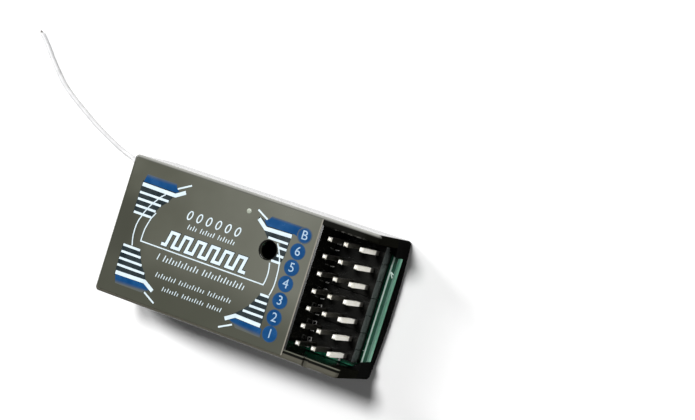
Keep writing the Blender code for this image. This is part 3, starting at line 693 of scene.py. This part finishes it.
# Corner at the antenna end, near side
white.append(stroke([(-18.05, -6.95), (-12.95, -6.85), (-11.3, -7.75)], THICK))
white.append(stroke([(-12.5, -8.3), (-10.5, -9.35)], THIN))
for y, end in ((-2.78, -15.2), (-3.77, -14.75), (-4.79, -14.2), (-5.8, -13.4)):
    white.append(bar(-18.15, end, y, STRIPE))
blue.append([(-17.6, -8.5), (-17.95, -7.25), (-13.0, -7.2), (-11.9, -7.8), (-12.55, -8.15), (-12.9, -8.5)])
navy.append([(-18.25, -2.7), (-15.2, -2.7), (-14.7, -3.8), (-14.2, -4.8), (-13.3, -5.75), (-12.9, -6.6),
             (-11.4, -7.5), (-11.6, -8.05), (-12.9, -7.3), (-18.15, -7.4)])

# Corner at the bay, far side
white.append(stroke([(1.7, 7.19), (3.14, 6.15), (7.4, 6.28)], THICK))
white.append(stroke([(1.18, 8.37), (3.02, 7.44)], THIN))
for start, end, y in ((3.95, 7.2, 5.1), (5.95, 7.28, 4.2), (6.05, 7.15, 3.08), (5.46, 6.96, 2.15)):
    white.append(bar(start, end, y, STRIPE))
blue.append([(2.55, 7.3), (3.2, 6.6), (7.75, 6.68), (8.15, 6.55), (8.08, 6.97), (8.24, 7.58), (8.69, 8.02),
             (8.8, 8.1), (3.6, 8.1), (3.2, 7.5)])
navy.append([(1.75, 6.8), (3.0, 5.85), (3.9, 4.95), (6.0, 4.95), (6.2, 3.9), (5.95, 3.0), (5.5, 2.05),
             (6.95, 2.05), (7.25, 3.2), (7.35, 5.2), (7.45, 6.8), (3.25, 6.75), (2.2, 7.4), (1.6, 7.45)])

# Corner at the bay, near side
white.append(stroke([(1.2, -7.85), (2.65, -6.95), (6.87, -7.08)], THICK))
white.append(stroke([(0.6, -9.3), (2.6, -8.3)], THIN))
for y, start in ((-2.87, 5.4), (-3.9, 4.9), (-4.9, 4.3), (-5.85, 3.55)):
    white.append(bar(start, 6.85, y, STRIPE))
blue.append([(1.9, -7.75), (2.75, -7.3), (7.2, -7.42), (7.35, -8.7), (3.2, -8.6), (2.8, -8.15)])
navy.append([(5.4, -2.75), (6.95, -2.75), (6.98, -7.5), (2.65, -7.4), (1.3, -8.2), (1.2, -7.7), (2.6, -6.5),
             (3.5, -5.7), (4.3, -4.8), (4.9, -3.8)])

# Oval frame and the long line
frame_paths = [
    [(-13.88, 6.11), (-14.5, 5.55), (-15.02, 4.9), (-15.6, 4.15), (-16.09, 3.33), (-16.42, 2.65),
     (-16.66, 1.96), (-16.86, 1.48), (-16.98, 0.99), (-17.06, 0.5), (-17.09, 0.0), (-17.06, -0.99),
     (-16.92, -1.75), (-16.7, -2.5)],
    [(-14.5, 3.1), (-15.04, 2.1), (-15.3, 1.23), (-15.5, 0.37), (-15.56, -0.5), (-15.56, -1.45),
     (5.4, -1.48), (5.53, -0.9), (5.59, -0.3), (5.6, 0.3), (5.52, 1.0), (5.35, 1.77)],
    [(5.64, 4.72), (6.13, 3.9), (6.55, 3.02), (6.72, 2.5), (6.86, 1.98), (6.98, 1.18), (7.05, 0.21),
     (7.08, -0.4), (7.07, -1.01), (7.01, -1.55), (6.92, -2.09), (6.78, -2.6)],
]
frame_lines = [stroke(path, FRAME) for path in frame_paths]

# Plain marks on the label
LEAN = 0.22


def leaning(points, foot):
    return [(x + (y - foot) * LEAN, y) for x, y in points]


RING_PITCH, RING_HEIGHT = 1.62, 4.4
for i in range(6):
    middle = (-9.0 + RING_PITCH * i, RING_HEIGHT)
    rings = [ring_arc(middle, radii, 0, 345, 23) for radii in ((0.44, 0.72), (0.25, 0.53))]
    white.append([leaning(ring, RING_HEIGHT) for ring in rings])


def tally(x0, foot, height, step, width, groups):
    """Leaning tally marks in groups, with a repeating rhythm of heights."""
    rhythm = (1.0, 0.7, 1.0, 0.7, 0.7)
    place = 0
    for group in groups:
        for i in range(group):
            tall = height * rhythm[i % len(rhythm)]
            x = x0 + place * step
            white.append(stroke([(x, foot), (x + tall * LEAN, foot + tall)], width))
            place += 1
        place += 1


tally(-8.8, 2.4, 0.72, 0.43, 0.13, (4, 6, 7))
tally(-12.1, -3.2, 0.95, 0.52, 0.15, (1, 12, 14))
tally(-11.5, -5.6, 0.7, 0.45, 0.12, (8, 10, 9))
tally(-9.8, -7.25, 0.64, 0.43, 0.12, (7, 9, 6))

# A bold train of pulses across the middle
PULSE_FOOT, PULSE_TOP = -0.78, 1.22
PULSE_WIDTH, PULSE_PITCH = 1.15, 2.3
pulse = [(-12.2, PULSE_FOOT)]
for i in range(6):
    x = -11.45 + PULSE_PITCH * i
    pulse += [(x, PULSE_FOOT), (x, PULSE_TOP), (x + PULSE_WIDTH, PULSE_TOP), (x + PULSE_WIDTH, PULSE_FOOT)]
pulse.append((2.1, PULSE_FOOT))
pulse = leaning(pulse, PULSE_FOOT)
white.append(stroke(pulse, 0.46))
navy.append(stroke(pulse, 0.66))

printed("label_dark_fields", navy, navy_ink, DARK_RISE)
printed("label_white_lines", white, white_ink, WHITE_RISE)
printed("label_frame_lines", frame_lines, white_ink, FRAME_RISE)

HOLE_CENTRE = (4.5, 3.4)
# Painted shade: a black ring round the sight hole stands in for the dark inside of a wider hole.
hole_ring = [ring_arc(HOLE_CENTRE, (radius, radius), 0, 354, 59) for radius in (1.48, 1.385)]
printed("label_hole_ring", [hole_ring], painted_hole_shade, RING_RISE)

# Discs and bars of blue, which pale towards their edges
DISC_RADIUS = 1.2
NUMBER_SIZE = 1.9
disc_places = [
    ("B", (9.29, 6.97)), ("6", (9.0, 4.54)), ("5", (8.85, 2.11)), ("4", (8.7, -0.31)),
    ("3", (8.63, -2.82)), ("2", (8.57, -5.34)), ("1", (8.66, -7.71)),
]


def make_disc(centre):
    """A low round field with rings of corners, so that its colour can fade outwards."""
    deselect()
    bpy.ops.mesh.primitive_circle_add(vertices=40, radius=DISC_RADIUS * MM, fill_type="NGON")
    bpy.ops.object.mode_set(mode="EDIT")
    bpy.ops.mesh.select_all(action="SELECT")
    bpy.ops.mesh.extrude_region_move(TRANSFORM_OT_translate={"value": (0, 0, (BLUE_RISE + SUNK) * MM)})
    for _ in range(3):
        bpy.ops.mesh.inset(thickness=0.3 * MM, use_even_offset=True)
    bpy.ops.object.mode_set(mode="OBJECT")
    piece = bpy.context.object
    piece.location = (centre[0] * MM, centre[1] * MM, LABEL_TOP - SUNK * MM)
    return piece


def fading(piece, fade_at):
    """Store how far each corner's colour has faded."""
    fade = piece.data.attributes.new("fade", "FLOAT", "POINT")
    for corner in piece.data.vertices:
        fade.data[corner.index].value = fade_at(corner.co.x / MM, corner.co.y / MM)


def disc_fade(x, y):
    """Discs pale towards their rims, and the farthest one pales as a whole."""
    nearest = min(math.hypot(x - cx, y - cy) for _, (cx, cy) in disc_places)
    paler = 0.25 if y > 5.75 else 0.0
    return min(1.0, (nearest / DISC_RADIUS) ** 4 * 0.75 + paler)


def bar_fade(x, y):
    """Bars pale towards the label's long edges."""
    return min(1.0, max(0.0, (abs(y) - 7.3) / 0.9))


discs = merged("label_port_discs", [make_disc(centre) for _, centre in disc_places], blue_ink.material)
closed_up(discs)
riding(discs)
fading(discs, disc_fade)
bars = printed("label_blue_bars", blue, blue_ink, BLUE_RISE)
fading(bars, bar_fade)


def numbered(word, centre):
    """A port's plain mark as raised type."""
    deselect()
    bpy.ops.object.text_add(location=(centre[0] * MM, centre[1] * MM, LABEL_TOP))
    text = bpy.context.object
    text.data.body = word
    text.data.size = NUMBER_SIZE * MM
    text.data.align_x = "CENTER"
    text.data.align_y = "CENTER"
    text.data.extrude = WHITE_RISE * MM
    text.data.resolution_u = 4
    bpy.ops.object.convert(target="MESH")
    return bpy.context.object


port_marks = [numbered(word, centre) for word, centre in disc_places]
numbers = merged("label_port_numbers", port_marks, number_ink.material)
closed_up(numbers)
riding(numbers)


def make_pip():
    """The small pale stud that stands out of the label."""
    deselect()
    bpy.ops.mesh.primitive_circle_add(vertices=24, radius=0.38 * MM, fill_type="NGON")
    bpy.ops.object.mode_set(mode="EDIT")
    bpy.ops.mesh.select_all(action="SELECT")
    for rise, size in ((0.06, 1.0), (0.03, 0.9), (0.02, 0.75), (0.01, 0.5)):
        bpy.ops.mesh.extrude_region_move(TRANSFORM_OT_translate={"value": (0, 0, rise * MM)})
        bpy.ops.transform.resize(value=(size, size, 1))
    bpy.ops.object.mode_set(mode="OBJECT")
    bpy.context.object.location = (-0.15 * MM, 7.76 * MM, LABEL_TOP - 0.02 * MM)
    pip = closed_up(named("label_pip", pip_plastic.material))
    bpy.ops.object.shade_smooth_by_angle(angle=math.radians(40))
    riding(pip)


make_pip()


# Print and pads on the board's open end

SILK_RISE = 0.02
silk = [
    stroke([(19.68, -8.36), (19.68, 8.04)], 0.24),
    stroke([(19.3, -6.35), (19.62, -6.3)], 0.14),
    stroke([(19.82, 5.55), (20.3, 5.25)], 0.14),
    stroke([(19.82, 5.45), (20.28, 4.75)], 0.14),
]
printed("board_silk_lines", silk, silk_ink, SILK_RISE, level=BOARD_TOP)


def make_pad(x, y, radius):
    """A tinned round pad with a plated hole's dimple."""
    deselect()
    bpy.ops.mesh.primitive_circle_add(vertices=20, radius=radius * MM, fill_type="NGON")
    bpy.ops.object.mode_set(mode="EDIT")
    bpy.ops.mesh.select_all(action="SELECT")
    bpy.ops.mesh.extrude_region_move(TRANSFORM_OT_translate={"value": (0, 0, 0.05 * MM)})
    bpy.ops.mesh.inset(thickness=radius * 0.5 * MM, use_even_offset=True)
    bpy.ops.transform.translate(value=(0, 0, -0.02 * MM))
    bpy.ops.object.mode_set(mode="OBJECT")
    pad = bpy.context.object
    pad.location = (x * MM, y * MM, BOARD_TOP - 0.02 * MM)
    return pad


pad_places = [(16.3, -8.72, 0.2), (19.75, 8.38, 0.18), (19.0, -8.75, 0.15)]
pads = merged("board_pads", [make_pad(*place) for place in pad_places], solder.material)
closed_up(pads)
riding(pads)


# Faint moulded marks along the header's inner edge

MARK_RISE = 0.012
MARK_PITCH = 1.2
marks = []
for i in range(14):
    y = 7.3 - MARK_PITCH * i
    if i % 2:
        marks.append(stroke([(11.7, y), (12.3, y + 0.06)], 0.14))
    else:
        box = [(11.68, y - 0.36), (12.34, y - 0.28), (12.30, y + 0.34), (11.66, y + 0.26)]
        inner = [(11.80, y - 0.24), (12.21, y - 0.18), (12.18, y + 0.22), (11.78, y + 0.16)]
        marks.append([box, inner])
printed("header_marks", marks, mark_ink, MARK_RISE, level=HEADER_TOP)


# Floor and light

deselect()
bpy.ops.mesh.primitive_plane_add(size=4.0, location=(0, 0, 0))
floor = bpy.context.object
floor.name = "pale_floor"
floor_paint = Finish(
    "pale_floor", (0.88, 0.88, 0.88), (0.90, 0.90, 0.90), 0.85, grain=500.0, cloud=6.0, bump=0.0,
    scratches=0.0, gloss=0.0, soft_edge=0.0)
floor.data.materials.append(floor_paint.material)


def soft_light(name, place, size, power):
    """A round lamp that looks at the middle of the case's foot."""
    data = bpy.data.lights.new(name, "AREA")
    data.shape = "DISK"
    data.size = size
    data.energy = power
    lamp = bpy.data.objects.new(name, data)
    bpy.context.scene.collection.objects.link(lamp)
    lamp.location = place
    lamp.rotation_euler = (-Vector(place)).to_track_quat("-Z", "Y").to_euler()


soft_light("key", (-0.12, 0.23, 0.74), 0.20, 5.8)
soft_light("window", (-0.58, 0.24, 0.41), 0.28, 4.2)
soft_light("fill", (0.85, 0.0, 0.30), 0.16, 1.7)
world = bpy.data.worlds.new("studio")
world.use_nodes = True
sky = world.node_tree.nodes["Background"]
sky.inputs["Color"].default_value = (1, 1, 1, 1)
sky.inputs["Strength"].default_value = 0.03
bpy.context.scene.world = world
bpy.context.scene.view_settings.view_transform = "Standard"
